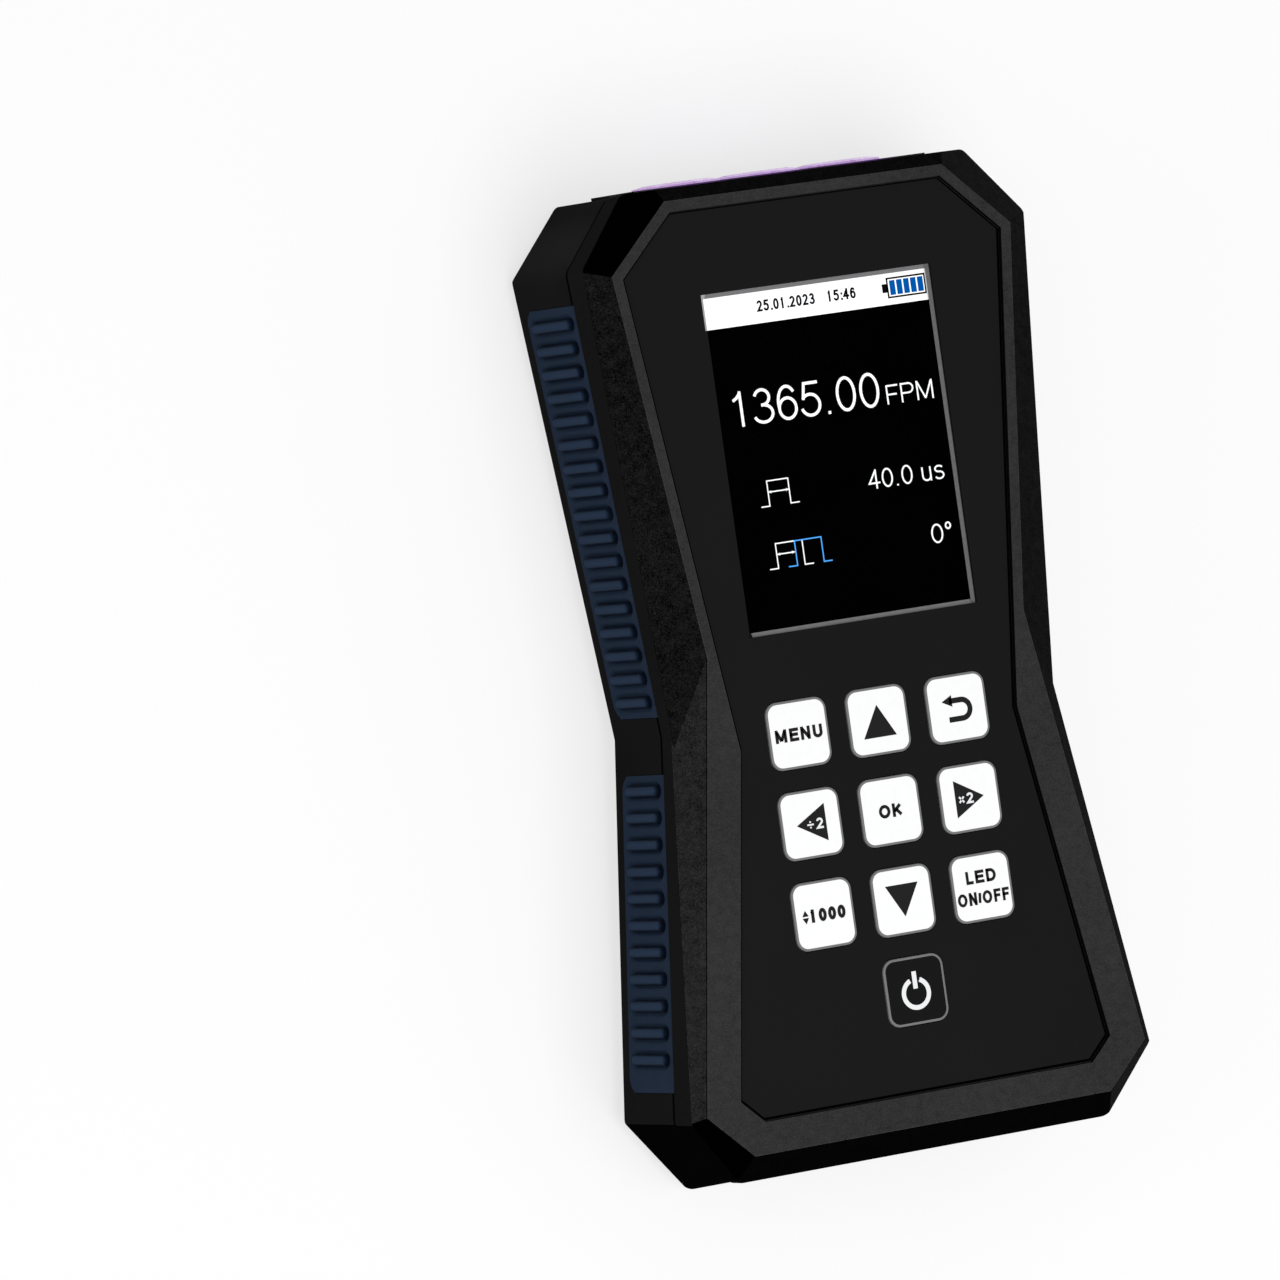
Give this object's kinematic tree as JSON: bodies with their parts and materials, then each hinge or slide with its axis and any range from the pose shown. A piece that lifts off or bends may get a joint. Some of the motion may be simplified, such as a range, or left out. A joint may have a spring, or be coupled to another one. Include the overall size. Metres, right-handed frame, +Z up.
{
  "type": "uv stroboscope",
  "caption": "Hand-held ultraviolet stroboscope with a colour display, membrane keys, a light head of six-sided lenses and ribbed grips on a waisted case.",
  "frame": {"origin": "middle of the overall box in plan, on the surface the feet stand on", "axes": "+X to the right as the user faces the display, +Y towards the light head, +Z up out of the display"},
  "size_m": [0.087, 0.166, 0.032],
  "materials": {
    "front_plastic": "fine-grained moulded dark grey",
    "rear_plastic": "fine-grained moulded near black",
    "foil": "printed matt foil",
    "frame_grey": "smooth grey",
    "window": "clear polished",
    "display": "black picture with white figures",
    "key_white": "satin white with grey edge and dark legends",
    "key_black": "satin black with white symbol",
    "silicone": "translucent grey silicone",
    "board": "green solder mask",
    "screw_steel": "bright zinc-plated",
    "plate": "smooth moulded near black",
    "lens": "violet-tinted moulded optic",
    "lamp": "lit ultraviolet lamp",
    "sink": "extruded",
    "cell": "laminated pouch",
    "tape": "foam pad",
    "socket": "drawn steel shell",
    "bush": "turned",
    "grip": "matt navy blue",
    "foot": "matt black"
  },
  "bodies": {
    "case": {"battery_cell": "cell", "battery_pad": "tape", "board_screws": "screw_steel", "case_screws": "screw_steel", "display_frame": "frame_grey", "display_window": "window", "foot_head_left": "foot", "foot_head_right": "foot", "foot_tail_left": "foot", "foot_tail_right": "foot", "front_foil": "foil", "front_shell": "front_plastic", "grip_lower_left": "grip", "grip_lower_right": "grip", "grip_upper_left": "grip", "grip_upper_right": "grip", "heat_sink": "sink", "key_mat": "silicone", "lcd_panel": "display", "led_board": "board", "led_emitters": "lamp", "lens_centre": "lens", "lens_left": "lens", "lens_plate": "plate", "lens_right": "lens", "main_board": "board", "rear_shell": "rear_plastic", "tripod_bush": "bush", "usb_socket": "socket"},
    "key_menu": {"key_menu": "key_white"},
    "key_up": {"key_up": "key_white"},
    "key_back": {"key_back": "key_white"},
    "key_halve": {"key_halve": "key_white"},
    "key_ok": {"key_ok": "key_white"},
    "key_double": {"key_double": "key_white"},
    "key_step": {"key_step": "key_white"},
    "key_down": {"key_down": "key_white"},
    "key_led": {"key_led": "key_white"},
    "key_power": {"key_power": "key_black"}
  },
  "joints": [
    {"name": "menu_press", "type": "slide", "parent": "case", "child": "key_menu", "axis": [0, 0, -1], "range_m": [0, 0.0003], "stiffness_N_per_m": 500},
    {"name": "up_press", "type": "slide", "parent": "case", "child": "key_up", "axis": [0, 0, -1], "range_m": [0, 0.0003], "stiffness_N_per_m": 500},
    {"name": "back_press", "type": "slide", "parent": "case", "child": "key_back", "axis": [0, 0, -1], "range_m": [0, 0.0003], "stiffness_N_per_m": 500},
    {"name": "halve_press", "type": "slide", "parent": "case", "child": "key_halve", "axis": [0, 0, -1], "range_m": [0, 0.0003], "stiffness_N_per_m": 500},
    {"name": "ok_press", "type": "slide", "parent": "case", "child": "key_ok", "axis": [0, 0, -1], "range_m": [0, 0.0003], "stiffness_N_per_m": 500},
    {"name": "double_press", "type": "slide", "parent": "case", "child": "key_double", "axis": [0, 0, -1], "range_m": [0, 0.0003], "stiffness_N_per_m": 500},
    {"name": "step_press", "type": "slide", "parent": "case", "child": "key_step", "axis": [0, 0, -1], "range_m": [0, 0.0003], "stiffness_N_per_m": 500},
    {"name": "down_press", "type": "slide", "parent": "case", "child": "key_down", "axis": [0, 0, -1], "range_m": [0, 0.0003], "stiffness_N_per_m": 500},
    {"name": "led_press", "type": "slide", "parent": "case", "child": "key_led", "axis": [0, 0, -1], "range_m": [0, 0.0003], "stiffness_N_per_m": 500},
    {"name": "power_press", "type": "slide", "parent": "case", "child": "key_power", "axis": [0, 0, -1], "range_m": [0, 0.0003], "stiffness_N_per_m": 500}
  ]
}
